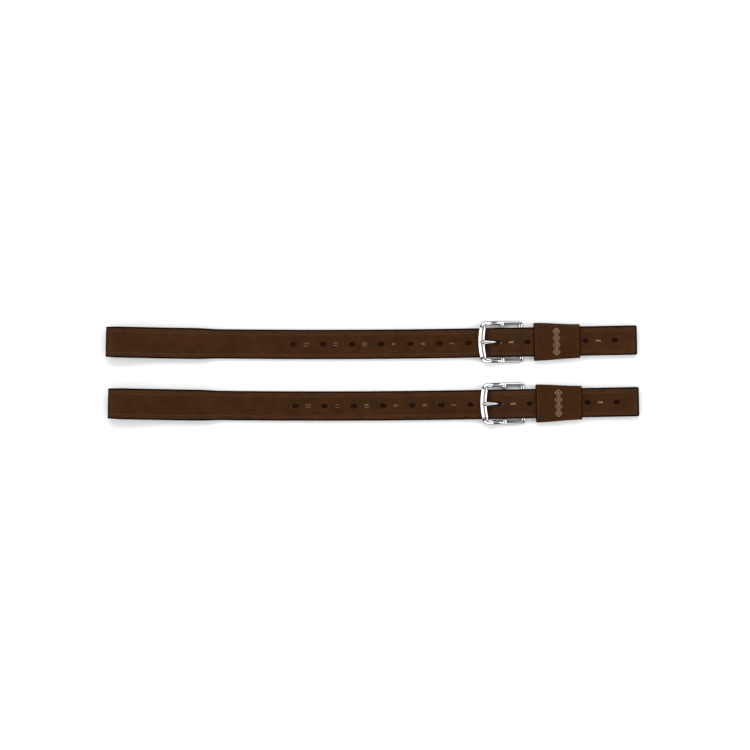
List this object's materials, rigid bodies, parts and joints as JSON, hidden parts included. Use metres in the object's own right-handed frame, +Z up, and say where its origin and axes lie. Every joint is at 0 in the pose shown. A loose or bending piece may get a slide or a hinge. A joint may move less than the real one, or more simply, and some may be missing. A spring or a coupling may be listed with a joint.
{
  "type": "stirrup leathers",
  "caption": "Pair of short brown leather straps with a sewn bar loop, oval holes, a centre-bar buckle with a hinged tongue, and a loose sleeve keeper.",
  "frame": {"origin": "on the ground under the middle of the pair's box", "axes": "+X along the straps towards the tails, +Y from the right strap to the left strap, +Z up off the ground, the grain side facing up"},
  "size_m": [0.4643, 0.0901, 0.0118],
  "materials": {
    "face_leather": "dark brown oiled full-grain leather, fine grain, creased edges",
    "lining_leather": "brown lining leather, matt",
    "core_webbing": "woven core, hidden between the leathers",
    "thread": "waxed brown thread",
    "keeper_leather": "dark brown leather, slightly olive, semi-matt",
    "polished_steel": "mirror-polished stainless steel"
  },
  "bodies": {
    "left_strap": {"left_face_leather": "face_leather", "left_core_webbing": "core_webbing", "left_lining_leather": "lining_leather", "left_edge_stitching": "thread", "left_underside_stitching": "thread", "left_buckle_frame": "polished_steel", "left_centre_bar": "polished_steel"},
    "left_tongue": {"left_tongue": "polished_steel"},
    "left_keeper": {"left_keeper_sleeve": "keeper_leather", "left_keeper_stitching": "thread"},
    "right_strap": {"right_face_leather": "face_leather", "right_core_webbing": "core_webbing", "right_lining_leather": "lining_leather", "right_edge_stitching": "thread", "right_underside_stitching": "thread", "right_buckle_frame": "polished_steel", "right_centre_bar": "polished_steel"},
    "right_tongue": {"right_tongue": "polished_steel"},
    "right_keeper": {"right_keeper_sleeve": "keeper_leather", "right_keeper_stitching": "thread"}
  },
  "joints": [
    {"name": "left_tongue_hinge", "type": "hinge", "parent": "left_strap", "child": "left_tongue", "pos_m": [0.11309, 0.0268, 0.0028], "axis": [-0.0185, 0.9998, 0], "range_deg": [0, 15]},
    {"name": "left_keeper_slide", "type": "slide", "parent": "left_strap", "child": "left_keeper", "axis": [0.9998, 0.0185, 0], "range_m": [-0.0016, 0.049]},
    {"name": "right_tongue_hinge", "type": "hinge", "parent": "right_strap", "child": "right_tongue", "pos_m": [0.11489, -0.0268, 0.0028], "axis": [-0.0185, 0.9998, 0], "range_deg": [0, 15]},
    {"name": "right_keeper_slide", "type": "slide", "parent": "right_strap", "child": "right_keeper", "axis": [0.9998, 0.0185, 0], "range_m": [-0.0016, 0.049]},
    {"name": "right_strap_lift", "type": "slide", "parent": "left_strap", "child": "right_strap", "axis": [0, 0, 1], "range_m": [0, 0.15]}
  ]
}
